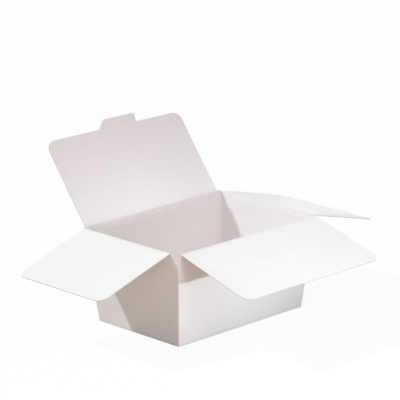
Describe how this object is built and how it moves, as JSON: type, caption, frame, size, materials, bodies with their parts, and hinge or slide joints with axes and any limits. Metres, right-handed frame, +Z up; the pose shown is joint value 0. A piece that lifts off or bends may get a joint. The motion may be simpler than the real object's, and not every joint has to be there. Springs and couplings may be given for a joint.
{
  "type": "praline box",
  "caption": "Folded paperboard sweets box standing open: a flared tray with a creased lid flap and tuck tab at the back, a slit front flap and end flaps.",
  "frame": {"origin": "middle of the underside of the base", "axes": "X along the long side, +Y towards the back wall that carries the lid, +Z up"},
  "size_m": [0.2885, 0.2137, 0.141],
  "materials": {
    "paperboard": "white coated paperboard, matt, with a slightly warmer inner side"
  },
  "bodies": {
    "tray": {"tray": "paperboard"},
    "lid": {"lid_flap": "paperboard"},
    "front": {"front_flap": "paperboard"},
    "left_end": {"left_end_flap": "paperboard"},
    "right_end": {"right_end_flap": "paperboard"}
  },
  "joints": [
    {"name": "lid_crease", "type": "hinge", "parent": "tray", "child": "lid", "pos_m": [0, 0.0515, 0.075], "axis": [-1, 0, 0], "range_deg": [-122.5, 128]},
    {"name": "front_crease", "type": "hinge", "parent": "tray", "child": "front", "pos_m": [0, -0.05144, 0.0744], "axis": [1, 0, 0], "range_deg": [-196.7, 58.3]},
    {"name": "left_end_crease", "type": "hinge", "parent": "tray", "child": "left_end", "pos_m": [-0.07488, 0, 0.0738], "axis": [0, -1, 0], "range_deg": [-197.5, 57.5]},
    {"name": "right_end_crease", "type": "hinge", "parent": "tray", "child": "right_end", "pos_m": [0.07488, 0, 0.0738], "axis": [0, 1, 0], "range_deg": [-194.3, 60.7]}
  ]
}
